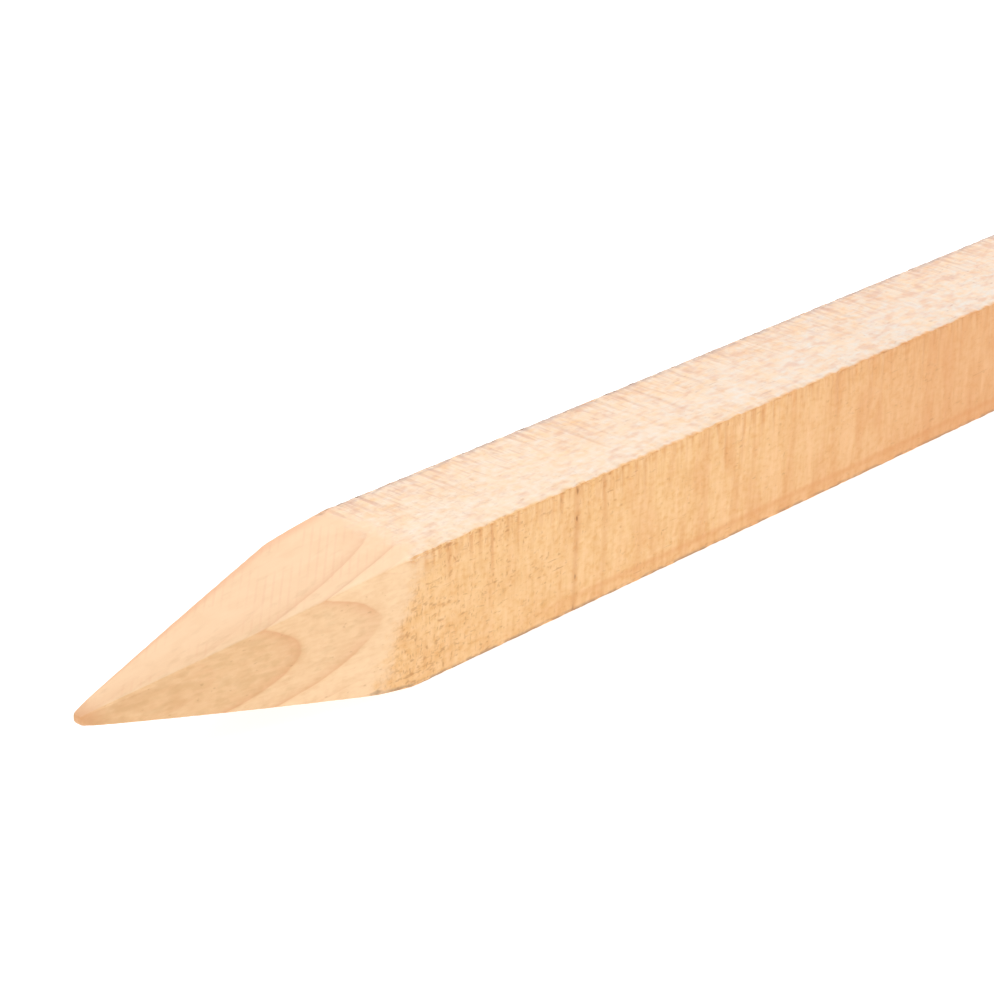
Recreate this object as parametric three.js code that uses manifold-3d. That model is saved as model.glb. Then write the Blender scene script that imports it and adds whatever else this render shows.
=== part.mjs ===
// Pointed hardwood stake: one length of square sawn timber, sharpened at one end by four cuts.
// Millimetres. +X runs along the stake from the point to the head and +Z is up. The stake lies
// on its lower face, and the origin is on that face, halfway along and halfway across.
import * as THREE from "three";
import { mergeVertices } from "three/addons/utils/BufferGeometryUtils.js";
import Module from "manifold-3d";

// Driving dimensions of the blank
const SECTION = 40; // side of the square sawn section
const LENGTH = 500; // blunt tip to head
const ARRIS = 0.8; // how far each sawn long edge is worn back
const HEAD_EASE = 0.8; // small bevel round the cross-cut head

const HALF = SECTION / 2;
const TIP_X = -LENGTH / 2;

// The four cuts of the point. The cutter came down on each side of the blank in turn, so no two
// cuts are alike. shoulder is how far behind the tip the cut leaves the sawn face, atTip is its
// height over the stake's centre line at the tip, crown is how far it bulges past a flat cut,
// side turns the cut round the centre line to the face it was made on, and tilt is what the
// blank was rolled in the hand, which makes the shoulder run slantwise.
const CUTS = [
  { side: 0, shoulder: 106.5, atTip: 3.2, crown: 0.5, tilt: 0 }, // upper
  { side: 90, shoulder: 95.7, atTip: 1.4, crown: 0.95, tilt: -3.7 }, // front
  { side: 180, shoulder: 103, atTip: -0.2, crown: 0, tilt: 0 }, // lower
  { side: 270, shoulder: 85, atTip: 2.2, crown: 0, tilt: 0 }, // back
];
const CURVE_STEPS = 8; // straight steps along a crowned cut
const WASTE_MARGIN = 30; // how far each block of waste reaches past the blank

const wasm = await Module();
wasm.setup();

// A closed geometry as a solid that can be cut.
function solidOf(geometry) {
  const bare = geometry.clone();
  bare.deleteAttribute("normal");
  bare.deleteAttribute("uv");
  const merged = mergeVertices(bare, 1e-4);
  const vertProperties = new Float32Array(merged.attributes.position.array);
  const triVerts = new Uint32Array(merged.index.array);
  return new wasm.Manifold(new wasm.Mesh({ numProp: 3, vertProperties, triVerts }));
}

// A solid's mesh as a geometry, with a flat normal on each face.
function geometryOf(solid) {
  const mesh = solid.getMesh();
  const geometry = new THREE.BufferGeometry();
  geometry.setAttribute("position", new THREE.BufferAttribute(mesh.vertProperties, 3));
  geometry.setIndex(new THREE.BufferAttribute(mesh.triVerts, 1));
  const flat = geometry.toNonIndexed();
  flat.computeVertexNormals();
  return flat;
}

// The sawn blank: the section with its worn arrises, run out along the stake.
function sawnBlank() {
  const side = HALF - HEAD_EASE; // the bevel at the ends puts this back
  const worn = side - ARRIS;
  const outline = [];
  for (const quarter of [0, 1, 2, 3]) {
    const turn = (quarter * Math.PI) / 2;
    for (const corner of [new THREE.Vector2(side, worn), new THREE.Vector2(worn, side)]) {
      outline.push(corner.rotateAround(new THREE.Vector2(), turn));
    }
  }
  const blank = new THREE.ExtrudeGeometry(new THREE.Shape(outline), {
    depth: LENGTH - 2 * HEAD_EASE,
    bevelThickness: HEAD_EASE,
    bevelSize: HEAD_EASE,
    bevelSegments: 1,
  });
  // The section's first axis goes to +Y, its second to +Z and the run to +X.
  const alongStake = new THREE.Matrix4().makeBasis(
    new THREE.Vector3(0, 1, 0),
    new THREE.Vector3(0, 0, 1),
    new THREE.Vector3(1, 0, 0),
  );
  blank.applyMatrix4(alongStake);
  blank.translate(TIP_X + HEAD_EASE, 0, HALF);
  return blank;
}

// The waste that one cut takes off: everything outside a gently crowned ramp.
function waste({ side, shoulder, atTip, crown, tilt }) {
  const slope = (HALF - atTip) / shoulder;
  const bow = (4 * crown) / shoulder; // what the crown adds to the slope at the tip
  const ahead = -WASTE_MARGIN;
  const behind = shoulder + WASTE_MARGIN;
  const ramp = new THREE.Shape();
  ramp.moveTo(ahead, atTip + ahead * (slope + bow));
  ramp.lineTo(0, atTip);
  if (crown > 0) {
    ramp.quadraticCurveTo(shoulder / 2, (atTip + HALF) / 2 + 2 * crown, shoulder, HALF);
  } else {
    ramp.lineTo(shoulder, HALF);
  }
  ramp.lineTo(behind, HALF + WASTE_MARGIN * (slope - bow));
  ramp.lineTo(behind, SECTION);
  ramp.lineTo(ahead, SECTION);
  const across = SECTION + 2 * WASTE_MARGIN;
  const block = new THREE.ExtrudeGeometry(ramp, {
    depth: across,
    bevelEnabled: false,
    curveSegments: CURVE_STEPS,
  });
  block.translate(0, 0, -across / 2);
  block.rotateX(Math.PI / 2); // the ramp's height now points up and its width lies across
  block.rotateX(THREE.MathUtils.degToRad(side + tilt));
  block.translate(TIP_X, 0, HALF);
  return block;
}

function sharpenedStake() {
  let timber = solidOf(sawnBlank());
  for (const cut of CUTS) {
    timber = timber.subtract(solidOf(waste(cut)));
  }
  return geometryOf(timber);
}

const sawnHardwood = new THREE.MeshStandardMaterial({
  color: 0xf3c896,
  roughness: 0.85,
  metalness: 0,
});

const stake = new THREE.Group();
const timber = new THREE.Mesh(sharpenedStake(), sawnHardwood);
timber.name = "timber_stake";
stake.add(timber);

export default stake;
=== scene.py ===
# %% [markdown]
# # A pointed hardwood stake, rough sawn and hand sharpened
#
# A fencing stake is one stick of hardwood. A saw leaves its four long faces rough, and four
# cuts across one end make the point. This lesson starts from a imported CAD solid, which fixes
# the size and the place of everything, and builds the timber around it: the blank, the four
# cuts, the marks of the saw, and the wood itself, down to the drying splits in its end.
#
# The first cell loads the frame and keeps the CAD box, which sets the stake's size.

# %% Load the frame
import functools
import math

import bmesh
import bpy
import numpy as np
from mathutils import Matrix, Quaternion, Vector


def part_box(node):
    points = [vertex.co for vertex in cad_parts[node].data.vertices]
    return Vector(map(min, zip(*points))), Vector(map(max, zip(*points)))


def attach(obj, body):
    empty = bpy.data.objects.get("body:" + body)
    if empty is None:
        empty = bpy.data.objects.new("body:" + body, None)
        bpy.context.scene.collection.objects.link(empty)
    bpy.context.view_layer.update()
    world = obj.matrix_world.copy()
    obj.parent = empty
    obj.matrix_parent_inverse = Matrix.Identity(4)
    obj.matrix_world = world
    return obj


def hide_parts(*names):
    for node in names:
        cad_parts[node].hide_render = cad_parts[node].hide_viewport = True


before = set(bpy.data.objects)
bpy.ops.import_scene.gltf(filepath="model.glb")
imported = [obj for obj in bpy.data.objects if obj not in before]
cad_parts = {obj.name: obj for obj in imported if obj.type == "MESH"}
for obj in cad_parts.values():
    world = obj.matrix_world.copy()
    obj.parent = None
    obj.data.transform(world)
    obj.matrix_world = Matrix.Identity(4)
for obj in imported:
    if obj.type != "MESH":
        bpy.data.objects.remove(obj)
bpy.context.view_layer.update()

NODE = "timber_stake"
MM = 0.001
low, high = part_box(NODE)
LENGTH = (high.x - low.x) / MM
SECTION = (high.z - low.z) / MM
HALF = SECTION / 2
AXIS_Z = (low.z + high.z) / 2
print(f"The stake is {LENGTH:.0f} mm long and {SECTION:.0f} mm square")

# %% [markdown]
# ## The camera
#
# The stake is seen from its point, from the front and a little above, with a long lens that
# keeps its far end from shrinking much. The point lies in the lower left corner, and the shaft
# runs out of view on the right. The place the camera looks at is given from the tip, so the
# camera follows the frame.

# %% Set the camera
# Angles are in degrees and lengths in millimetres, but how far it sees is in metres
AZIMUTH, ELEVATION, ROLL = -47.14, 24.29, 0.70
LENS = 116.6
AIM_BEHIND_TIP, AIM_BEHIND_AXIS = 179.87, 21.09
DISTANCE = 959.1
SEES_TO = 20

azimuth, elevation = math.radians(AZIMUTH), math.radians(ELEVATION)
towards_camera = Vector((
    math.sin(azimuth) * math.cos(elevation),
    -math.cos(azimuth) * math.cos(elevation),
    math.sin(elevation),
))
aim = Vector((low.x + AIM_BEHIND_TIP * MM, AIM_BEHIND_AXIS * MM, AXIS_Z))
bpy.ops.object.camera_add(location=aim + towards_camera * DISTANCE * MM)
camera = bpy.context.object
camera.rotation_mode = "QUATERNION"
level = (-towards_camera).to_track_quat("-Z", "Y")
camera.rotation_quaternion = level @ Quaternion((0, 0, 1), math.radians(ROLL))
camera.data.lens = LENS
camera.data.clip_end = SEES_TO
bpy.context.scene.camera = camera
print(f"The camera stands at {tuple(round(v / MM) for v in camera.location)} mm")

# %% [markdown]
# ## Colour, nodes and light
#
# Hex colours are how a person reads a colour off a sample. Shaders want linear light, so one
# function turns the first into the second, and another adds every node: its settings, and its
# inputs in the order in which the node shows them.
#
# Pale wood on a white ground has no deep shadows. The light is a bright even dome, a weak lamp
# above and to the left, and a broad soft box low behind the stake, on the far side from the
# camera. That last one glances off the upper faces and veils them in white, which makes them
# paler than the front. The sawn upper face is painted paler still in its colour, a painted
# highlight. The floor is a light table of milky acrylic: it glows, which keeps the ground white
# right up to the wood. The plain Standard view transform shows each colour as it was mixed.

# %% Light the scene
def linear(hex_colour, alpha=1.0):
    """An sRGB hex colour as linear red, green, blue and alpha."""
    channels = [int(hex_colour[i:i + 2], 16) / 255 for i in (1, 3, 5)]
    light = [c / 12.92 if c <= 0.04045 else ((c + 0.055) / 1.055) ** 2.4 for c in channels]
    return (*light, alpha)


def add_node(tree, kind, *inputs, output=None, **settings):
    """Add one node and give back an output. Inputs are values, or outputs to link."""
    made = tree.nodes.new("ShaderNode" + kind)
    for name, value in settings.items():
        setattr(made, name, value)
    shown = [socket for socket in made.inputs if socket.enabled]
    for socket, value in zip(shown, inputs):
        if isinstance(value, bpy.types.NodeSocket):
            tree.links.new(value, socket)
        else:
            socket.default_value = value
    if output:
        return made.outputs[output]
    return next(socket for socket in made.outputs if socket.enabled)


# Settings that many nodes share: a range with eased ends, and a mix of colours
SMOOTHLY = {"interpolation_type": "SMOOTHSTEP"}
COLOURS = {"data_type": "RGBA"}

DOME_STRENGTH, FLOOR_GLOW, FLOOR_SIZE = 0.68, 0.78, 12
SHAFT_START = 150
# Each soft box has a place and a size in metres, and a power in watts
SOFT_BOXES = {
    "soft_box_above": ((-0.75, -0.35, 1.5), 1.0, 11.2),
    "soft_box_behind": ((1.25, 0.7, 0.62), 1.1, 13.5),
}

scene = bpy.context.scene
scene.view_settings.view_transform = "Standard"

world = bpy.data.worlds.new("white_dome")
world.use_nodes = True
background = world.node_tree.nodes["Background"]
background.inputs["Color"].default_value = linear("#ffffff")
background.inputs["Strength"].default_value = DOME_STRENGTH
scene.world = world


def add_soft_box(name, place, target, size, watts):
    """A square lamp at a place, turned to its target."""
    bpy.ops.object.light_add(type="AREA", location=place)
    lamp = bpy.context.object
    lamp.name = name
    lamp.data.size = size
    lamp.data.energy = watts
    lamp.rotation_mode = "QUATERNION"
    lamp.rotation_quaternion = (Vector(target) - Vector(place)).to_track_quat("-Z", "Y")


shaft_start = (low.x + SHAFT_START * MM, 0, AXIS_Z)
for name, (place, size, watts) in SOFT_BOXES.items():
    add_soft_box(name, place, shaft_start, size, watts)

bpy.ops.mesh.primitive_plane_add(size=FLOOR_SIZE, location=(0, 0, low.z))
floor = bpy.context.object
floor.name = "light_table"
# Milky acrylic, lit from below: an even white with no shine and almost no shadow
acrylic = bpy.data.materials.new("milky_acrylic_light_table")
acrylic.use_nodes = True
acrylic_shader = acrylic.node_tree.nodes["Principled BSDF"]
acrylic_shader.inputs["Base Color"].default_value = linear("#bcbcbc")
acrylic_shader.inputs["Roughness"].default_value = 0.9
acrylic_shader.inputs["Specular IOR Level"].default_value = 0.0
acrylic_shader.inputs["Emission Color"].default_value = linear("#ffffff")
acrylic_shader.inputs["Emission Strength"].default_value = FLOOR_GLOW
floor.data.materials.append(acrylic)
print(f"{len(SOFT_BOXES)} soft boxes are lit, and the floor lies at {low.z / MM:.1f} mm")

# %% [markdown]
# ## The sawn blank
#
# On the bench the stake begins as a square stick. In Blender it begins as a cube of that size,
# cut into an even grid: first 24 cells along every edge, then each long cell again, until there
# is a ring of points every half millimetre. A saw mark is about 3.5 mm wide, so that is fine
# enough to carve one. The ends get the same 24 by 24 cells, so every face is a clean grid of
# quads and the solid stays closed whatever is done to its points.
#
# Both cuts are the Subdivide operator. The second acts only on the edges that run along the
# stake, picked by their direction.

# %% Make the blank
COLUMNS = 24
RINGS_PER_CELL = 41


def only(piece):
    """Make one object the selected and active one."""
    bpy.ops.object.select_all(action="DESELECT")
    piece.select_set(True)
    bpy.context.view_layer.objects.active = piece


bpy.ops.object.select_all(action="DESELECT")
bpy.ops.mesh.primitive_cube_add(size=1, location=(low + high) / 2)
stake = bpy.context.object
stake.name = "sawn_stake"
stake.dimensions = high - low
bpy.ops.object.transform_apply(location=True, rotation=True, scale=True)

bpy.ops.object.mode_set(mode="EDIT")
bpy.ops.mesh.select_all(action="SELECT")
bpy.ops.mesh.subdivide(number_cuts=COLUMNS - 1)
bpy.ops.mesh.select_all(action="DESELECT")
grid = bmesh.from_edit_mesh(stake.data)
for edge in grid.edges:
    run = edge.verts[0].co - edge.verts[1].co
    edge.select = abs(run.x) > abs(run.y) + abs(run.z)
bmesh.update_edit_mesh(stake.data)
bpy.ops.mesh.subdivide(number_cuts=RINGS_PER_CELL - 1)
bpy.ops.object.mode_set(mode="OBJECT")
print(f"The blank has {len(stake.data.polygons)} faces")

# %% [markdown]
# ## Reading the grid
#
# Everything below moves the blank's own points. It helps to know each point by three numbers
# instead of by its place: how far it is behind the tip, and where it sits across the section,
# from -1 to 1 each way. A point on the upper face has up = 1, one on the front face has
# across = -1, and one on an arris has both.
#
# The rings are then slid closer together at the two ends, where small roundings need them, and
# the columns are slid towards the arrises, where the saw tears the wood most. A sine does the
# second: it is steep in the middle of the face and nearly flat at its edges.

# %% Name every point by its place in the grid
def read_points(piece):
    """The places of a mesh's points, one row for each."""
    flat = np.empty(len(piece.data.vertices) * 3)
    piece.data.vertices.foreach_get("co", flat)
    return flat.reshape(-1, 3)


def write_points(piece, places):
    """Move a mesh's points to these places."""
    piece.data.vertices.foreach_set("co", np.ascontiguousarray(places).ravel())
    piece.data.update()


corner = np.array([low.x, 0, AXIS_Z])
even = (read_points(stake) - corner) / MM
rings = COLUMNS * RINGS_PER_CELL
END_CROWD, CROWDED_RINGS = 0.8, 12


def crowd_ends(ring):
    """Ring number to distance behind the tip, with rings closer together at both ends."""
    pulled = END_CROWD * CROWDED_RINGS
    near_tip = pulled * (1 - np.exp(-ring / CROWDED_RINGS))
    near_head = pulled * (1 - np.exp(-(rings - ring) / CROWDED_RINGS))
    place = ring - near_tip + near_head - pulled
    return place * LENGTH / (rings - 2 * pulled)


ring_number = np.round(even[:, 0] / LENGTH * rings)
behind = crowd_ends(ring_number)
behind = (behind - behind.min()) / (behind.max() - behind.min()) * LENGTH
across = np.sin(np.clip(even[:, 1] / HALF, -1, 1) * math.pi / 2)
up = np.sin(np.clip(even[:, 2] / HALF, -1, 1) * math.pi / 2)
EDGE = 1 - 1e-6
on_top, on_bottom = up > EDGE, up < -EDGE
on_front, on_back = across < -EDGE, across > EDGE
ring_gap = np.diff(np.unique(behind))
print(f"Rings stand {ring_gap.min():.2f} to {ring_gap.max():.2f} mm apart")

# %% [markdown]
# ## The four cuts of the point
#
# The sharpener lays the blank against a saw or a chopper four times, turning it a quarter each
# time, so the four cuts differ. Each is a ramp: low at the tip, and up to the sawn face at the
# shoulder. The upper and front cuts bulge a little, and the front one was made with the blank
# rolled by a few degrees, so that its shoulder runs slantwise.
#
# Bisect with fill would make the same four planes, but each facet would be one huge face with
# no points to carry the marks of the blade. Here each ring of points is shrunk to the section
# that the cuts leave at that distance, which keeps the grid and puts its corner columns right
# on the ridges.

# %% Cut the point
CUTS = {
    "top": {"shoulder": 106.5, "at_tip": 3.2, "crown": 0.5},
    "front": {"shoulder": 95.7, "at_tip": 1.4, "crown": 0.95},
    "bottom": {"shoulder": 103.0, "at_tip": -0.2, "crown": 0.0},
    "back": {"shoulder": 85.0, "at_tip": 2.2, "crown": 0.0},
}
FRONT_ROLL = math.radians(3.7)
SHOULDER_SOFTNESS = 0.12


def ramp(cut, distance):
    """Height of one cut over the stake's centre line, in millimetres."""
    share = distance / cut["shoulder"]
    straight = cut["at_tip"] + (HALF - cut["at_tip"]) * share
    # The bulge is nought at the tip, the full crown halfway, and nought from the shoulder on
    return straight + 4 * cut["crown"] * share * np.clip(1 - share, 0, None)


def soft_min(height, limit):
    """The lower of two heights, with the corner between them rubbed down."""
    gap = (height - limit) / SHOULDER_SOFTNESS
    return limit - SHOULDER_SOFTNESS * np.logaddexp(0, -gap)


def cut_over(side, distance, height=0.0):
    """How high the cut on one side lies over the centre line. Height matters on the front."""
    level_ramp = ramp(CUTS[side], distance)
    if side == "front":
        return (level_ramp - math.sin(FRONT_ROLL) * height) / math.cos(FRONT_ROLL)
    return level_ramp


top_reach = soft_min(cut_over("top", behind), HALF)
bottom_reach = soft_min(cut_over("bottom", behind), HALF)
back_reach = soft_min(cut_over("back", behind), HALF)
height = (top_reach + bottom_reach) / 2 * up + (top_reach - bottom_reach) / 2
front_reach = soft_min(cut_over("front", behind, height), HALF)
breadth = (back_reach + front_reach) / 2 * across + (back_reach - front_reach) / 2
print(f"At the tip the section is {(top_reach + bottom_reach).min():.1f} mm high")

# %% [markdown]
# ## Marks of the saw
#
# A saw leaves a groove for each bite, straight across the face and about 3.5 mm from the next.
# The teeth tear most where they enter the wood, so on each face the grooves start deep at one
# arris, and each runs a little way across before it dies out. Going round the stake, that is
# always the arris shared with the face before. The slower wander of the blade scallops the
# arris itself. Now and then the feed pauses, and leaves one groove that goes right across.
#
# The marks could be a Displace modifier with a texture, but each face has marks of its own and
# they only go inwards, so that the stake never grows past its size. A sum of a few seeded waves
# along the stake is simpler, and it comes out the same each time.

# %% Work out the saw marks
# The saw's step, and the radius of the curve that its teeth swing on
SAW_STEP, SAW_SWEEP = 3.5, 900.0
BITE_DEPTH, GROOVE_DEPTH, FINE_DEPTH = 0.05, 0.11, 0.06
# How far the wander of the blade bites into the arris where the saw enters each face, and how
# far the wood broke out at the arris where it left
ENTRY_BITE = {"top": 0.20, "front": 0.50, "bottom": 0.06, "back": 0.30}
EXIT_BREAK = {"top": 0.9, "front": 0.05, "bottom": 0.20, "back": 0.12}
# Where the feed paused on each face, in millimetres behind the tip, and how deep it cut
PAUSES = {
    "top": [],
    "front": [(169.5, 0.09), (182, 0.05), (402, 0.05)],
    "bottom": [(244, 0.06)],
    "back": [(150, 0.05), (318, 0.06)],
}
PAUSE_WIDTH, FULL_PAUSE = 0.75, 0.07
# How far across each face its grooves run, and how far in its arrises are bitten and broken
GROOVE_RUN = {"top": 24, "front": 14, "bottom": 16, "back": 18}
BITTEN_IN, BROKEN_IN = 4.0, 2.2
random = np.random.default_rng(40)


def wander(along, step, spread=0.35, waves=7):
    """A smooth random line between 0 and 1, whose bumps are about one step apart."""
    total = np.zeros_like(along)
    for _ in range(waves):
        length = step * (1 + spread * random.uniform(-1, 1))
        total += np.sin(2 * math.pi * (along / length + random.random()))
    return np.clip(0.5 + total / (2 * math.sqrt(waves) * 1.3), 0, 1)


# For each face: which points, and how far each is from the arris where the saw went in
FACES = {
    "top": (on_top, HALF * (1 - across)),
    "front": (on_front, HALF * (1 - up)),
    "bottom": (on_bottom, HALF * (1 + across)),
    "back": (on_back, HALF * (1 + up)),
}
saw_depth, groove, swept = {}, {}, {}
for name, (_, entry) in FACES.items():
    swept[name] = behind + entry ** 2 / (2 * SAW_SWEEP)
    bite = wander(swept[name], SAW_STEP)
    run = 2 + GROOVE_RUN[name] * wander(swept[name], 2.3 * SAW_STEP) ** 2
    dying = 1 / (1 + np.exp((entry - run) / 1.8))
    groove[name] = np.clip((bite - 0.52) / 0.3, 0, 1) * dying
    fine = wander(swept[name], SAW_STEP / 2.6) * (0.25 + 0.75 * dying)
    scallop = np.clip((wander(swept[name], 3.4 * SAW_STEP, spread=0.6) - 0.42) / 0.36, 0, 1)
    nibble = wander(swept[name], 1.2 * SAW_STEP) ** 2
    depth = BITE_DEPTH * bite + GROOVE_DEPTH * groove[name] + FINE_DEPTH * fine
    depth = depth + ENTRY_BITE[name] * scallop * np.exp(-entry / BITTEN_IN)
    leaving = np.exp(-(SECTION - entry) / BROKEN_IN)
    depth = depth + EXIT_BREAK[name] * (0.7 * scallop + 0.45 * nibble) * leaving
    for pause, pause_depth in PAUSES[name]:
        line = np.exp(-(((swept[name] - pause) / PAUSE_WIDTH) ** 2))
        line = line * (0.35 + wander(entry, 7.0))
        depth = depth + pause_depth * line
        groove[name] = np.maximum(groove[name], np.sqrt(line) * pause_depth / FULL_PAUSE)
    saw_depth[name] = depth
print(f"The saw marks are up to {max(d.max() for d in saw_depth.values()):.2f} mm deep")

# %% [markdown]
# ## Where the saw's surface ends
#
# The saw marks belong only to the four long faces: the cuts of the point took them away. How
# far a point is past the shoulder of its own face says which it is, and the same number goes
# to the material later, so the rough wood and its marks end on one line.
#
# The upper front arris was bruised just behind the point, and the cuts meet both faces earlier
# there. The bruise is a soft dip in each face. Beside it the blade skimmed the front face
# smooth for a few millimetres more, before it left the wood. The smooth cuts carry marks too:
# a planer knife or a fine saw leaves faint slanting ripples, which show best on the upper facet.

# %% Press the marks into the faces
BRUISE_AT, BRUISE_LONG, BRUISE_WIDE = 104.0, 13.0, 4.0
BRUISE_DEPTH = {"top": 0.9, "front": 0.5}
from_front_arris = {"top": HALF * (1 + across), "front": HALF * (1 - up)}
for name, depth in BRUISE_DEPTH.items():
    dip = np.exp(-(((behind - BRUISE_AT) / BRUISE_LONG) ** 2))
    dip = dip * np.exp(-from_front_arris[name] / BRUISE_WIDE)
    saw_depth[name] = saw_depth[name] + depth * dip

SKIMMED_LONG, SKIMMED_WIDE = 6.5, 12.0
skimmed = {name: 0.0 for name in FACES}
skimmed["front"] = SKIMMED_LONG * np.exp(-((from_front_arris["front"] / SKIMMED_WIDE) ** 2))

RIPPLE_STEP, RIPPLE_SLANT = 3.4, 1.13
RIPPLE_DEPTH = {"top": 0.03, "front": 0.02, "bottom": 0.03, "back": 0.03}
past_shoulder, pressed = {}, {}
ripple = 0.5 + 0.5 * np.sin(2 * math.pi * (behind - RIPPLE_SLANT * breadth) / RIPPLE_STEP)
for name in FACES:
    cut = CUTS[name]
    slope = (HALF - cut["at_tip"]) / cut["shoulder"]
    slope_of_cut = slope - 4 * cut["crown"] / cut["shoulder"]
    sawn_level = HALF - saw_depth[name]
    cut_level = cut_over(name, behind, height)
    over = cut_level - sawn_level
    past_shoulder[name] = over / np.where(over > 0, slope, slope_of_cut) - skimmed[name]
    pressed[name] = soft_min(cut_level - RIPPLE_DEPTH[name] * ripple, sawn_level)

height = np.where(on_top, pressed["top"], height)
height = np.where(on_bottom, -pressed["bottom"], height)
breadth = np.where(on_back, pressed["back"], breadth)
breadth = np.where(on_front, -pressed["front"], breadth)
print(f"{(past_shoulder['top'][on_top] > 0).mean():.0%} of the upper face is sawn")

# %% [markdown]
# ## Rounding the arrises, the tip and the head
#
# No wooden edge is a knife edge. A sawn arris is worn by about a millimetre, a cut ridge far
# less, and the very tip most of all for its size. Bevel would round them all alike, and at the
# tip the rounding is as big as the section. So the points near an edge are moved onto a ball
# that rolls along it: take how far inside each of the faces a point lies, and wherever two of
# those depths are less than the ball's radius, put the point on the ball.

# %% Round the edges
SAWN_ROUND, CUT_ROUND, TIP_ROUND, HEAD_ROUND = 0.8, 0.3, 1.15, 0.8
POINT_ENDS, TIP_WORN, HEAD_WORN = 100, 3.5, 3.0
sawn_share = 1 / (1 + np.exp(-(behind - POINT_ENDS) / 3))
radius = CUT_ROUND + (SAWN_ROUND - CUT_ROUND) * sawn_share
radius = radius * (0.8 + 0.4 * wander(behind, 9.0, spread=0.6))
radius = radius + (TIP_ROUND - radius) * np.exp(-((behind / TIP_WORN) ** 2))
radius = radius + (HEAD_ROUND - radius) * np.exp(-(((LENGTH - behind) / HEAD_WORN) ** 2))

wide = (back_reach + front_reach) / 2
tall = (top_reach + bottom_reach) / 2
inside = np.stack([
    np.minimum(behind, LENGTH - behind),
    (1 - np.abs(across)) * wide,
    (1 - np.abs(up)) * tall,
], axis=1)
short = np.clip(radius[:, None] - inside, 0, None)
near_edge = (short > 0).sum(axis=1) > 1
reach = np.linalg.norm(short, axis=1, keepdims=True)
moved = np.where(near_edge[:, None], short * (1 - radius[:, None] / np.maximum(reach, 1e-9)), 0)
inwards = np.stack([
    np.where(behind < LENGTH / 2, 1, -1),
    -np.sign(across),
    -np.sign(up),
], axis=1)
shaped = np.stack([behind, breadth, height], axis=1) + moved * inwards
write_points(stake, shaped * MM + corner)
print(f"{near_edge.mean():.0%} of the points lie on a rounded edge")

# %% [markdown]
# ## Passing the workmanship to the material
#
# The wood's colour is a solid pattern that can be worked out from a point's place alone. The
# saw's work is not: it needs to know which face it is on, how far along the saw had come, how
# far the entry arris is, and how far the shoulder. Those go along as attributes. They are kept
# at the corners of the polygons and not at the points, because a point on an arris belongs to
# two faces, which have different saw marks.

# %% Store the attributes
polygon_count = len(stake.data.polygons)
points_of = np.empty(polygon_count * 4, dtype=np.int32)
stake.data.polygons.foreach_get("vertices", points_of)
points_of = points_of.reshape(-1, 4)


def store(piece, name, values_by_face, elsewhere):
    """One number for each polygon corner, taken from the polygon's own long face."""
    numbers = np.zeros(points_of.shape) + elsewhere
    for face, values in values_by_face.items():
        own = FACES[face][0][points_of].all(axis=1)
        numbers[own] = values[points_of[own]]
    attribute = piece.data.attributes.new(name, "FLOAT", "CORNER")
    attribute.data.foreach_set("value", numbers.ravel().astype(np.float32))


FAR, TOUCHING = 60.0, 0.01
is_tip = (behind < TOUCHING)[points_of].all(axis=1)
store(stake, "past_shoulder", past_shoulder, np.where(is_tip, -FAR, FAR)[:, None])
# Each face counts the saw's travel from a number of its own, so no two show the same marks
store(stake, "saw_travel", {n: swept[n] + LENGTH * 2 * i for i, n in enumerate(FACES)}, 0)
store(stake, "from_entry", {n: entry for n, (_, entry) in FACES.items()}, FAR)
store(stake, "groove", groove, 0)
on_upper = {"top": HALF * (1 + across), "front": -HALF * (1 - up)}
store(stake, "over_front_arris", on_upper, -FAR)
is_head = (behind > LENGTH - TOUCHING)[points_of].all(axis=1)
head_end = stake.data.attributes.new("head_end", "FLOAT", "CORNER")
head_end.data.foreach_set("value", np.repeat(is_head, 4).astype(np.float32))
print(f"The head end has {is_head.sum()} polygons")

# %% [markdown]
# ## Wood as a solid
#
# A tree lays down a new shell of wood each year, so the rings run right through the block, and
# every face, cut and end shows the same rings sliced its own way. The stake was sawn with the
# heart of a young stem inside it, a little above its middle. So the pattern is made in the
# block's own space, in millimetres from the heart, and not wrapped over its skin.
#
# A solid noise drawn out along the grain makes almost everything that wood shows: fibres,
# flecks, torn spots and slow changes of colour differ only in size and in how far they run.
# The stains of colour are laid over each other, each where its own pattern is strong.

# %% Set up the block
# Where the heart runs 70 mm behind the tip, and how it drifts for each millimetre after that
HEART_GIVEN_AT = 70.0
HEART_BACK, HEART_ABOVE_AXIS = 1.86, 3.53
HEART_DRIFT_BACK, HEART_DRIFT_UP = 0.023, -0.010

# Rough-sawn beech: pale, warm and dull, with a slightly furry surface
wood = bpy.data.materials.new("rough_sawn_beech")
wood.use_nodes = True
wood_shader = wood.node_tree.nodes["Principled BSDF"]
node = functools.partial(add_node, wood.node_tree)

to_middle = LENGTH / 2 - HEART_GIVEN_AT
heart_back = HEART_BACK + HEART_DRIFT_BACK * to_middle
heart_up = HALF + HEART_ABOVE_AXIS + HEART_DRIFT_UP * to_middle
place = node("TexCoord", output="Object")
block = node(
    "Mapping", place,
    (0, -heart_back, -heart_up),
    (0, math.atan(HEART_DRIFT_UP), -math.atan(HEART_DRIFT_BACK)),
    (1 / MM, 1 / MM, 1 / MM),
)
block_axes = node("SeparateXYZ", block).node.outputs


def grain_noise(size, run=1.0, detail=2.0, seed=0.0):
    """Noise of a size in millimetres across the grain, drawn out to run times that along it."""
    scale = (1 / (size * run), 1 / size, 1 / size)
    drawn = node("Mapping", block, (seed * 7.3, seed * 3.1, seed * 5.7), (0, 0, 0), scale)
    return node("TexNoise", drawn, 1.0, detail, 0.5)


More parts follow.
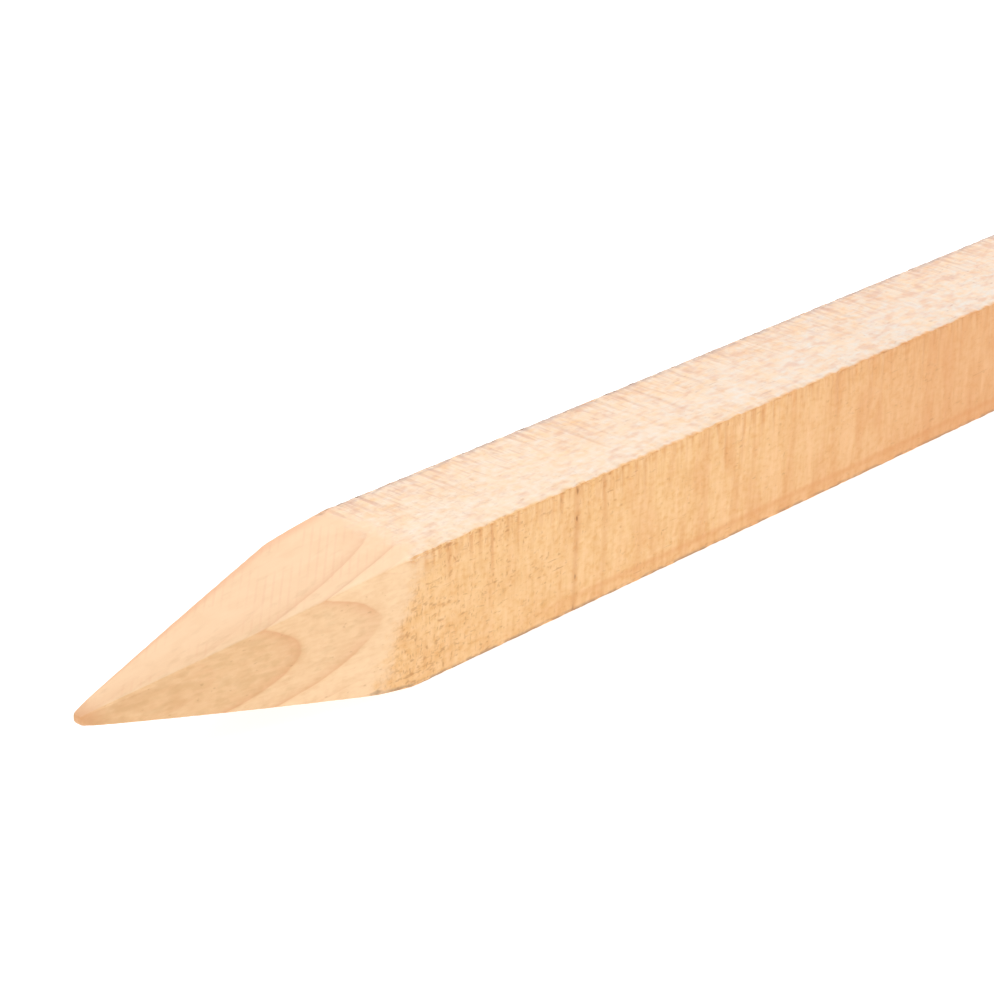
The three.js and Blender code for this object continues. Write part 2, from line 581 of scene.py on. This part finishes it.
def stained(under, colour, pattern, start, full, most):
    """The wood with a stain, from none where the pattern is at start to the most where it is full."""
    share = node("MapRange", pattern, start, full, 0.0, most, **SMOOTHLY)
    return node("Mix", share, under, linear(colour), **COLOURS)


# %% [markdown]
# ## Growth rings
#
# Distance from the heart, made a little uneven, says how old the wood was. Spring wood is pale
# and each ring darkens slowly to a fine line, where growth stopped for the winter. Near the
# heart the whole wood is a shade darker and greyer, more on one side of the stem than on the
# other. In beech all of this is faint.

# %% Draw the growth rings
RING_RATE, RING_TIGHTENING, RING_START = 0.09, 0.00325, 0.37
# The distances from the heart at which its two shades of brown fade out
INNER_HEART_FADES, OUTER_HEART_FADES = (15.9, 16.9), (20.6, 22.0)

squares = [node("Math", block_axes[axis], 2.0, operation="POWER") for axis in ("Y", "Z")]
from_heart = node("Math", node("Math", *squares, operation="ADD"), operation="SQRT")
slow = node("Math", grain_noise(34, 3, 1), 4.2, -2.1, operation="MULTIPLY_ADD")
quick = node("Math", grain_noise(7, 3), 0.7, -0.35, operation="MULTIPLY_ADD")
uneven = node("Math", slow, quick, operation="ADD")
grown = node("Math", from_heart, uneven, operation="ADD")
rate = node("Math", grown, RING_TIGHTENING, RING_RATE, operation="MULTIPLY_ADD")
years = node("Math", grown, rate, -RING_START, operation="MULTIPLY_ADD")
season = node("Math", years, operation="FRACT")
late = node(
    "Math",
    node("MapRange", season, 0.5, 0.94, 0.0, 1.0),
    node("MapRange", season, 0.94, 1.0, 1.0, 0.0),
    operation="MULTIPLY",
)
late = node("Math", late, 2.5, operation="POWER")
not_first_year = node("MapRange", years, 1.02, 1.3, 0.3, 1.0)
late = node("Math", late, not_first_year, operation="MULTIPLY")

# A cut shows the rings best in the front half of the stem, and those near the bark least
front_half = node("MapRange", block_axes["Y"], 3.0, -4.0, 0.12, 1.0)
late_on_cuts = node("Math", late, front_half, operation="MULTIPLY")
outer_rings = node("MapRange", grown, 22.5, 24.5, 1.0, 0.4)
late_on_cuts = node("Math", late_on_cuts, outer_rings, operation="MULTIPLY")

# The bruised corner behind the front cut shows no rings
over_arris = node("Attribute", attribute_name="over_front_arris", output="Fac")
past = node("Attribute", attribute_name="past_shoulder", output="Fac")
on_upper_side = node("MapRange", over_arris, -0.5, 0.5, 0.0, 1.0)
unbruised = node("MapRange", past, -14.0, -5.0, 1.0, on_upper_side)
late_on_cuts = node("Math", late_on_cuts, unbruised, operation="MULTIPLY")

inner_heart = node("MapRange", grown, *INNER_HEART_FADES, 1.0, 0.0, **SMOOTHLY)
outer_heart = node("MapRange", grown, *OUTER_HEART_FADES, 0.45, 0.0, **SMOOTHLY)
heart = node("Math", inner_heart, 0.55, outer_heart, operation="MULTIPLY_ADD")
down_and_front = node("Math", block_axes["Z"], -0.8, operation="MULTIPLY")
down_and_front = node("Math", down_and_front, block_axes["Y"], operation="SUBTRACT")
one_sided = node("MapRange", down_and_front, -8.0, 9.0, 0.2, 1.0, **SMOOTHLY)
heart = node("Math", heart, one_sided, operation="MULTIPLY")

PALE_SAPWOOD, HEARTWOOD, LATE_WOOD = linear("#f5cfa3"), linear("#e7bb8a"), linear("#db9c6e")
smooth_wood = node("Mix", heart, PALE_SAPWOOD, HEARTWOOD, **COLOURS)
late_tint = node("Math", late_on_cuts, 0.60, operation="MULTIPLY")
smooth_wood = node("Mix", late_tint, smooth_wood, LATE_WOOD, **COLOURS)
print(f"The rings are {1 / (RING_RATE + 30 * RING_TIGHTENING):.1f} mm apart, 15 mm from the heart")

# %% [markdown]
# ## The smooth-cut point
#
# Freshly cut beech shows two fine things: fibres, which run with the grain, and short dark
# flecks, the ends of the rays. Both are about 0.2 mm wide on a real stake, and are drawn 1 mm
# wide here, because finer ones would not show at all. Cloudy patches a few millimetres across
# keep the cut from looking like plastic. The knife's ripples catch a little colour too.
#
# These could be painted on, but the cuts slope through the rings, and a solid pattern follows
# the wood through every one of them without a seam.

# %% Finish the cut wood
HANDLED_FROM, HANDLED_TO = low.x + 15 * MM, low.x + 48 * MM

longways = node("SeparateXYZ", place).node.outputs["X"]
fibre = grain_noise(1.0, 14, 2, seed=1)
cloud = grain_noise(4.0, 1.8, 3, seed=2)
fleck = grain_noise(1.0, 2.6, 1, seed=4)

more_in_heart = node("MapRange", heart, 0.0, 0.9, 0.70, 1.0)
heart_mottle = node("Math", grain_noise(2.2, 2.6, 3, seed=15), more_in_heart, operation="MULTIPLY")

# The upper facet was cut cleanly along the fibres, so they hardly show there
fibre_shows = node("MapRange", over_arris, -1.0, 2.0, 1.0, 0.62)
fibre_dark = node("Math", fibre, fibre_shows, operation="MULTIPLY")
fleck = node("Math", fleck, fibre_shows, operation="MULTIPLY")
mottle = node("Math", grain_noise(1.5, 1.8, 2, seed=3), fibre_shows, operation="MULTIPLY")

# Clouds and mottling first, then fibres, dark and pale, and the flecks on top
smooth_wood = stained(smooth_wood, "#dfb07c", cloud, 0.40, 0.66, 0.22)
smooth_wood = stained(smooth_wood, "#c2945c", heart_mottle, 0.42, 0.64, 0.24)
smooth_wood = stained(smooth_wood, "#d69c68", mottle, 0.42, 0.66, 0.12)
smooth_wood = stained(smooth_wood, "#cf9462", fibre_dark, 0.45, 0.72, 0.11)
smooth_wood = stained(smooth_wood, "#ffdfb6", fibre, 0.50, 0.30, 0.07)
smooth_wood = stained(smooth_wood, "#a8703f", fleck, 0.70, 0.80, 0.30)

# The ripples lie in patches on the upper facet, on the same slant as in the mesh
slanting = node("Math", block_axes["Y"], -RIPPLE_SLANT, block_axes["X"], operation="MULTIPLY_ADD")
ripple_turn = node("Math", slanting, 2 * math.pi / RIPPLE_STEP, operation="MULTIPLY")
ripple_crest = node("Math", ripple_turn, operation="SINE")
ripple_crest = node("MapRange", ripple_crest, 0.2, 1.0, 0.0, 1.0, **SMOOTHLY)
ripple_patch = node("MapRange", grain_noise(16, 1, 1, seed=5), 0.42, 0.62, 0.0, 1.0)
ripple_crest = node("Math", ripple_crest, ripple_patch, operation="MULTIPLY")
on_upper_facet = node("MapRange", over_arris, 0.0, 6.0, 0.0, 1.0)
ripple_crest = node("Math", ripple_crest, on_upper_facet, operation="MULTIPLY")
smooth_wood = stained(smooth_wood, "#dd9168", ripple_crest, 0.0, 1.0, 0.15)

# The upper facet is pinker, and pinkest along its far ridge. Along its near ridge it is painted
# paler, a painted highlight
smooth_wood = stained(smooth_wood, "#fbe9d6", over_arris, -0.5, 1.5, 0.14)
smooth_wood = stained(smooth_wood, "#e79c72", over_arris, 35.5, 39.5, 0.45)
smooth_wood = stained(smooth_wood, "#e9a87c", over_arris, 1.0, 7.0, 0.11)

# Towards the tip the front cut has darkened unevenly with handling
near_tip = node("MapRange", longways, HANDLED_FROM, HANDLED_TO, 1.0, 0.3)
near_tip = node("Math", near_tip, grain_noise(3.5, 2.5, 2, seed=19), operation="MULTIPLY")
below_arris = node("MapRange", over_arris, -5.0, -2.0, 1.0, 0.0)
near_tip = node("Math", near_tip, below_arris, operation="MULTIPLY")
smooth_wood = stained(smooth_wood, "#c38b52", near_tip, 0.30, 0.60, 0.27)
print("The cut wood has fibres, clouds, flecks and ripples")

# %% [markdown]
# ## The sawn faces
#
# Sawn wood is torn, scratched, grooved and plucked, and the next cells add these one by one.
# Two kinds of noise draw them all. One follows the grain, as above. The other follows the saw,
# in millimetres along its way and across it, and makes what the teeth did.
#
# The rough wood ends raggedly at the shoulder: noise is added to the distance before it is
# compared with nought.

# %% Find the way round the sawn faces
travel, entry_distance, groove_here, head_here = (
    node("Attribute", attribute_name=name, output="Fac") for name in
    ("saw_travel", "from_entry", "groove", "head_end")
)
saw_space = node("CombineXYZ", travel, entry_distance)


def saw_noise(width, length, detail=1.0, seed=0.0):
    """Noise in marks of this width and length in millimetres, lying the way the saw went."""
    scale = (1 / width, 1 / length, 1)
    drawn = node("Mapping", saw_space, (seed * 3.0, seed * 5.0, 0), (0, 0, 0), scale)
    return node("TexNoise", drawn, 1.0, detail, 0.6)


drift = grain_noise(13, 1.5, 2, seed=7)
ragged = node("Math", grain_noise(2.4, 1.5, 3, seed=8), 15.0, -7.5, operation="MULTIPLY_ADD")
ragged_edge = node("Math", past, ragged, operation="ADD")
sawn = node("MapRange", ragged_edge, -4.5, 7.0, 0.0, 1.0, **SMOOTHLY)

# The upper face is painted paler, a painted highlight. Its arris is frayed, so the painted highlight
# ends unevenly there
frayed_arris = node("Math", grain_noise(2.2, 2, 2, seed=9), 3.0, -1.5, operation="MULTIPLY_ADD")
upper_face_painted_highlight = node("Math", over_arris, frayed_arris, operation="ADD")
upper_face_painted_highlight = node("MapRange", upper_face_painted_highlight, 0.1, 1.9, 0.0, 1.0, **SMOOTHLY)
outside_painted_highlight = node("Math", 1.0, upper_face_painted_highlight, operation="SUBTRACT")
print("The sawn wood knows where the shoulder, the arris and the sun are")

# %% [markdown]
# ## Torn and scratched wood
#
# The teeth pull some fibres out and push others up. Torn hollows are painted deep ochre and
# raised fibres nearly white: partly the wood's colour, partly painted shade in the hollows and a
# painted highlight on the fibres. Fine scratches run the way the teeth went. Each is one noise,
# used twice: its high parts take one colour and its low parts the other, so the two never overlap.
# Two separate noises would cover each other and turn to mud.

# %% Tear and scratch the sawn wood
WARMS_FROM, WARMS_TO = low.x + 190 * MM, low.x + 400 * MM

torn = grain_noise(1.5, 1.6, 2, seed=6)
scratch = saw_noise(1.8, 9, seed=1)

OCHRE = linear("#f2c285")
rough_wood = node("Mix", 0.78, smooth_wood, OCHRE, **COLOURS)
rough_wood = stained(rough_wood, "#e2a561", drift, 0.38, 0.66, 0.22)
# Painted highlight on the raised fibres and painted shade in the torn hollows, over the wood's own
# colour
rough_wood = stained(rough_wood, "#fbd2a2", torn, 0.50, 0.68, 0.28)
rough_wood = stained(rough_wood, "#dd9a4e", torn, 0.48, 0.30, 0.32)
rough_wood = stained(rough_wood, "#d4944f", scratch, 0.50, 0.70, 0.18)
rough_wood = stained(rough_wood, "#fdd3a3", scratch, 0.50, 0.32, 0.22)

# Towards the head the stake is a warmer colour, but not under the painted highlight of the upper face
warming = node("MapRange", longways, WARMS_FROM, WARMS_TO, 0.0, 0.55, **SMOOTHLY)
warming = node("Math", warming, outside_painted_highlight, operation="MULTIPLY")
rough_wood = node("Mix", warming, rough_wood, linear("#df9b67"), **COLOURS)

# The feed was uneven, which left broad pale and dark bands across the stake further up
bands = saw_noise(8, 36, 2, seed=6)
further_up = node("MapRange", past, 50.0, 150.0, 0.08, 0.25)
dark_band = node("MapRange", bands, 0.46, 0.66, 0.0, further_up, **SMOOTHLY)
pale_band = node("MapRange", bands, 0.46, 0.32, 0.0, further_up, **SMOOTHLY)
rough_wood = node("Mix", dark_band, rough_wood, linear("#d98a4e"), **COLOURS)
rough_wood = node("Mix", pale_band, rough_wood, linear("#fbcc9c"), **COLOURS)
print("The sawn wood is torn, scratched and banded")

# %% [markdown]
# ## The painted highlight on the upper face
#
# The upper face is painted paler in patches, a painted highlight that stands in for the light
# which falls on it from above and behind. Further up it is greyer, and small pink spots break it.
# It could be painted by hand as a colour attribute, but two sizes of noise do it without a brush,
# and they are as sharp as the render wants.

# %% Paint the highlight on the upper face
# The size of each kind of patch, how far it runs, how strong it is and its seed
PATCHES = ((2.2, 1.5, 1.1, 13), (7.0, 2.0, 0.6, 16))

# Painted highlight: how much of the paler colour covers the upper face, in patches
painted_highlit = node("MapRange", over_arris, 10.0, 36.0, 0.68, 0.55, **SMOOTHLY)
for size, run, strength, seed in PATCHES:
    patches = grain_noise(size, run, 2, seed)
    patches = node("Math", patches, strength, -strength / 2, operation="MULTIPLY_ADD")
    painted_highlit = node("Math", painted_highlit, patches, operation="ADD", use_clamp=True)
painted_highlit = node("Math", upper_face_painted_highlight, painted_highlit, operation="MULTIPLY")
towards_head = node("MapRange", past, 0.0, 225.0, 0.0, 1.0)
# The painted highlight's colour, greyer towards the head
PAINTED_HIGHLIGHT, PAINTED_HIGHLIGHT_AT_HEAD = linear("#f0dfcc"), linear("#e1d8cf")
painted_highlight_colour = node("Mix", towards_head, PAINTED_HIGHLIGHT, PAINTED_HIGHLIGHT_AT_HEAD, **COLOURS)
rough_wood = node("Mix", painted_highlit, rough_wood, painted_highlight_colour, **COLOURS)

flushed = node("Math", grain_noise(3.0, 2.2, 2, seed=17), upper_face_painted_highlight, operation="MULTIPLY")
marked = node("MapRange", past, 10.0, 280.0, 0.92, 1.03)
flushed = node("Math", flushed, marked, operation="MULTIPLY")
rough_wood = stained(rough_wood, "#dbab90", flushed, 0.46, 0.76, 0.58)
print(f"The upper face is bleached in {len(PATCHES)} sizes of patch")

# %% [markdown]
# ## The colour of the grooves
#
# The grooves are pressed into the mesh already, but on pale wood their shade hardly shows. So
# the attribute that carries the grooves paints them darker: partly painted shade, partly the
# dust that their torn fibres hold. Hairlines finer than the mesh run between them, drawn with noise.
# They are strongest at the arris where the saw went in, and fade out part of the way across.

# %% Colour the grooves
hair_reach = node("MapRange", over_arris, -1.0, 1.0, 15.0, 28.0)
entry_fade = node("MapRange", entry_distance, 0.0, hair_reach, 1.0, 0.0)
hair_start = node("Math", entry_fade, -0.13, 0.6, operation="MULTIPLY_ADD")
hair_line = node("Math", saw_noise(1.5, 9), hair_start, operation="SUBTRACT")
hair_line = node("MapRange", hair_line, 0.0, 0.16, 0.0, 1.0, **SMOOTHLY)
hair_strength = node("Math", entry_fade, 0.8, 0.2, operation="MULTIPLY_ADD")
hair_line = node("Math", hair_line, hair_strength, operation="MULTIPLY")

# Painted shade and dust in the grooves and hairlines, paler and pinker on the upper face under its
# painted highlight
groove_shade_and_dust = node("Mix", upper_face_painted_highlight, linear("#cc8547"), linear("#d0a08a"), **COLOURS)
groove_most = node("MapRange", past, 60.0, 160.0, 0.38, 0.22)
groove_shade_and_dust_share = node("Math", groove_here, groove_most, operation="MULTIPLY")
rough_wood = node("Mix", groove_shade_and_dust_share, rough_wood, groove_shade_and_dust, **COLOURS)
hair_most = node("MapRange", upper_face_painted_highlight, 0.0, 1.0, 0.25, 0.45)
hair_share = node("Math", hair_line, hair_most, operation="MULTIPLY")
rough_wood = node("Mix", hair_share, rough_wood, groove_shade_and_dust, **COLOURS)

# The deepest grooves are painted darker for a short way: partly painted shade, partly dirt
deep = node("Math", groove_here, saw_noise(2.6, 5, seed=4), operation="MULTIPLY")
deep = node("Math", deep, outside_painted_highlight, operation="MULTIPLY")
cleaner = node("MapRange", past, 60.0, 140.0, 1.0, 0.80)
deep = node("Math", deep, cleaner, operation="MULTIPLY")
rough_wood = stained(rough_wood, "#85511f", deep, 0.52, 0.74, 0.68)
print("The grooves and hairlines are stained, and the deepest hold dirt")

# %% [markdown]
# ## Plucked flecks
#
# Beech is full of short hard flecks, and a coarse saw plucks some of them out whole, which
# leaves brown dashes. The smallest are 0.2 mm wide, and are drawn about 1 mm wide so that they
# show. Noise above a limit gives such dashes. Adding a slow noise to it first gathers them in
# drifts, and adding the distance makes them thickest just behind the point.

# %% Pluck out the flecks
behind_point = node("MapRange", ragged_edge, 0.0, 90.0, 0.05, -0.05)
gathered = node("Math", drift, 0.24, -0.12, operation="MULTIPLY_ADD")
gathered = node("Math", gathered, behind_point, operation="ADD")
along_grain = node("Math", grain_noise(1.1, 2.4, 2, seed=10), gathered, operation="ADD")
along_saw = node("Math", saw_noise(1.1, 2.4, 2, seed=3), gathered, operation="ADD")
split = node("MapRange", grain_noise(0.8, 16, 1, seed=12), 0.75, 0.79, 0.0, 0.9)
pluck = split
for torn_out in (along_grain, along_saw):
    hole = node("MapRange", torn_out, 0.58, 0.78, 0.0, 1.0, **SMOOTHLY)
    pluck = node("Math", pluck, hole, operation="MAXIMUM")
near_shoulder = node("MapRange", ragged_edge, -5.0, 0.5, 0.0, 1.0, **SMOOTHLY)
pluck = node("Math", pluck, near_shoulder, operation="MULTIPLY")
# Under the painted highlight of the upper face the flecks are painted paler and greyer
pluck_colour = node("Mix", upper_face_painted_highlight, linear("#a8662a"), linear("#b98c76"), **COLOURS)
front_most = node("MapRange", past, 40.0, 260.0, 0.46, 0.24)
upper_most = node("MapRange", past, 10.0, 270.0, 0.20, 0.58)
pluck_most = node("Mix", upper_face_painted_highlight, front_most, upper_most)
pluck_share = node("Math", pluck, pluck_most, operation="MULTIPLY")
rough_wood = node("Mix", pluck_share, rough_wood, pluck_colour, **COLOURS)
print("The flecks are plucked out along the grain and along the saw")

# %% [markdown]
# ## The arrises
#
# Where the teeth left the wood they pressed a strip of it flat, warmer in colour and edged by a
# darker line. The arrises are painted with shade in broken dashes, and the corners where each
# cut begins are darker. Each lies at its own distance from an arris, which the mesh already
# carries, so each needs no more than one Map Range on that distance.

# %% Press the exit side and paint shade on the arrises
EXIT_LINE = 35.0
ARRIS_SHADE, ARRIS_SHADE_ON_UPPER_FACE = linear("#9b7a5e"), linear("#b59d94")

leaving = node("Math", slow, 0.45, entry_distance, operation="MULTIPLY_ADD")
from_line = node("Math", leaving, EXIT_LINE, operation="SUBTRACT")
from_line = node("Math", from_line, operation="ABSOLUTE")
leaving_line = node("MapRange", from_line, 0.0, 1.6, 0.32, 0.0, **SMOOTHLY)
pressed_flat = node("MapRange", leaving, EXIT_LINE - 0.5, EXIT_LINE + 1.5, 0.0, 0.16, **SMOOTHLY)
exit_strip = node("Math", pressed_flat, leaving_line, operation="ADD")
clear_of_point = node("MapRange", past, 45.0, 95.0, 0.0, 1.0)
exit_strip = node("Math", exit_strip, clear_of_point, operation="MULTIPLY")
exit_strip = node("Math", exit_strip, outside_painted_highlight, operation="MULTIPLY")
rough_wood = node("Mix", exit_strip, rough_wood, linear("#dc8c4c"), **COLOURS)

# The painted shade is kept off the upper front arris
to_exit = node("Math", SECTION, entry_distance, operation="SUBTRACT")
to_arris = node("Math", to_exit, entry_distance, operation="MINIMUM")
other_arris = node("Math", over_arris, operation="ABSOLUTE")
other_arris = node("MapRange", other_arris, 10.0, 20.0, 0.0, 1.0)
dashes = node("MapRange", grain_noise(1.4, 3.0, 2, seed=14), 0.38, 0.54, 0.0, 1.0)
# Painted shade along the arrises, in broken dashes, wider and paler on the upper face
arris_shade_width = node("MapRange", upper_face_painted_highlight, 0.0, 1.0, 1.8, 3.2)
arris_shade = node("MapRange", to_arris, 0.5, arris_shade_width, 0.85, 0.0, **SMOOTHLY)
arris_shade_at_head = node("MapRange", upper_face_painted_highlight, 0.0, 1.0, 0.75, 1.0)
arris_shade_left = node("MapRange", past, 65.0, 330.0, 0.9, arris_shade_at_head)
arris_shade = node("Math", arris_shade, arris_shade_left, operation="MULTIPLY")
arris_shade = node("Math", arris_shade, dashes, operation="MULTIPLY")
arris_shade = node("Math", arris_shade, other_arris, operation="MULTIPLY")
arris_shade_colour = node("Mix", upper_face_painted_highlight, ARRIS_SHADE, ARRIS_SHADE_ON_UPPER_FACE, **COLOURS)
rough_wood = node("Mix", arris_shade, rough_wood, arris_shade_colour, **COLOURS)

# Darker spots in the frayed corners where each cut begins
from_corner = node("Math", past, operation="ABSOLUTE")
from_corner = node("Math", from_corner, 0.5, to_arris, operation="MULTIPLY_ADD")
from_corner = node("MapRange", from_corner, 2.6, 0.8, 0.0, 1.0)
from_corner = node("Math", from_corner, other_arris, operation="MULTIPLY")
rough_wood = stained(rough_wood, "#6b4325", from_corner, 0.0, 0.6, 0.9)
print("The arrises are pressed and grimed")

# %% [markdown]
# ## The head end
#
# At the head the stake was cross-cut. End grain drinks light, so it is browner than the sides
# and the rings stand out as circles. The block has begun to dry and to split outwards from its
# heart. The splits could be cut with booleans, but they are hair thin. Counting the angle round
# the heart in spokes puts one on each, noise makes the spokes wander, and each split draws a
# length of its own.

# %% Finish the end grain
SPOKES, SPLIT_WIDTH = 7, 0.42
SHORTEST_SPLIT, SPLIT_SPREAD = 3.0, 11.0

pores = node("Mapping", block, (0, 0, 0), (0, 0, 0), (0.2, 1.6, 1.6))
pores = node("TexNoise", pores, 1.0, 1.0, 0.5)
cross_cut = node("Mapping", block, (0, 0, 0), (0.3, 0, 0), (0.1, 0.05, 0.7))
cross_cut = node("TexNoise", cross_cut, 1.0, 2.0, 0.5)

angle = node("Math", block_axes["Z"], block_axes["Y"], operation="ARCTAN2")
spoke_wander = node("Math", grain_noise(5, 4, 2, seed=18), 0.9, operation="MULTIPLY")
spoke_turn = node("Math", angle, SPOKES / (2 * math.pi), spoke_wander, operation="MULTIPLY_ADD")
spoke = node("Math", spoke_turn, operation="ROUND")
off_spoke = node("Math", spoke_turn, spoke, operation="SUBTRACT")
off_spoke = node("Math", off_spoke, operation="ABSOLUTE")
off_spoke = node("Math", off_spoke, from_heart, operation="MULTIPLY")
off_spoke = node("Math", off_spoke, 2 * math.pi / SPOKES, operation="MULTIPLY")
own_length = node("TexWhiteNoise", spoke, output="Value", noise_dimensions="1D")
own_length = node("Math", own_length, SPLIT_SPREAD, SHORTEST_SPLIT, operation="MULTIPLY_ADD")
gap = node("MapRange", from_heart, 0.0, own_length, SPLIT_WIDTH, 0.0)
drying_split = node("Math", gap, off_spoke, operation="SUBTRACT")
drying_split = node("MapRange", drying_split, -0.02, 0.08, 0.0, 1.0)

end_wood = node("Mix", 0.72, smooth_wood, linear("#bd844e"), **COLOURS)
end_wood = stained(end_wood, "#935c2e", late, 0.0, 1.0, 0.6)
end_wood = stained(end_wood, "#98632f", pores, 0.52, 0.68, 0.4)
end_wood = stained(end_wood, "#e0b483", cross_cut, 0.45, 0.7, 0.35)
end_wood = stained(end_wood, "#46280f", drying_split, 0.0, 1.0, 0.95)
print(f"The end grain has rings, pores, saw marks and {SPOKES} drying splits")

# %% [markdown]
# ## Putting the finishes together
#
# One material serves the whole stake. Its three finishes are mixed by the distance past the
# shoulder and by the head end, for colour, for roughness and for relief alike. A bare wooden
# surface has a refractive index of about 1.5. Cut wood has a dull gloss, and sawn wood almost
# none, but its raised fibres glow softly along the edges, which the sheen gives.

# %% Join the finishes
# The very tip is burnished by the ground and by handling
BURNISHED = 9
burnish = node("MapRange", longways, low.x, low.x + BURNISHED * MM, 0.5, 0.0, **SMOOTHLY)
smooth_wood = node("Mix", burnish, smooth_wood, linear("#cf8d5b"), **COLOURS)

wood_colour = node("Mix", sawn, smooth_wood, rough_wood, **COLOURS)
wood_colour = node("Mix", head_here, wood_colour, end_wood, **COLOURS)
wood.node_tree.links.new(wood_colour, wood_shader.inputs["Base Color"])

dullness = node("Mix", sawn, 0.5, 0.82)
dullness = node("Mix", head_here, dullness, 0.9)
dullness = node("Math", fibre, 0.12, dullness, operation="MULTIPLY_ADD")
wood.node_tree.links.new(dullness, wood_shader.inputs["Roughness"])

# Relief in millimetres: up is a raised fibre, and down is a groove, a hole or a split
cut_relief = node("Math", late_on_cuts, 0.012, operation="MULTIPLY")
cut_relief = node("Math", fibre, 0.012, cut_relief, operation="MULTIPLY_ADD")
sawn_relief = node("Math", hair_line, -0.025, operation="MULTIPLY")
sawn_relief = node("Math", torn, 0.04, sawn_relief, operation="MULTIPLY_ADD")
sawn_relief = node("Math", pluck, -0.015, sawn_relief, operation="MULTIPLY_ADD")
end_relief = node("Math", drying_split, -0.5, operation="MULTIPLY")
end_relief = node("Math", cross_cut, 0.25, end_relief, operation="MULTIPLY_ADD")
relief = node("Mix", sawn, cut_relief, sawn_relief)
relief = node("Mix", head_here, relief, end_relief)
# At full strength one unit of relief is a millimetre, and a narrow filter keeps it sharp
normal = node("Bump", 1.0, MM, 0.1, relief)
wood.node_tree.links.new(normal, wood_shader.inputs["Normal"])

wood_shader.inputs["IOR"].default_value = 1.5
wood_shader.inputs["Sheen Weight"].default_value = 0.15
wood_shader.inputs["Sheen Roughness"].default_value = 0.45
wood_shader.inputs["Sheen Tint"].default_value = linear("#fff6ec")
stake.data.materials.append(wood)
print(f"The wood has {len(wood.node_tree.nodes)} nodes")

# %% [markdown]
# ## Putting the stake in the frame
#
# The stake rides on the one body and stands for the CAD solid.

# %% Join the frame and finish
SMOOTH_BELOW = math.radians(60)

only(stake)
bpy.ops.object.shade_smooth_by_angle(angle=SMOOTH_BELOW)
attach(stake, "root")
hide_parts(NODE)
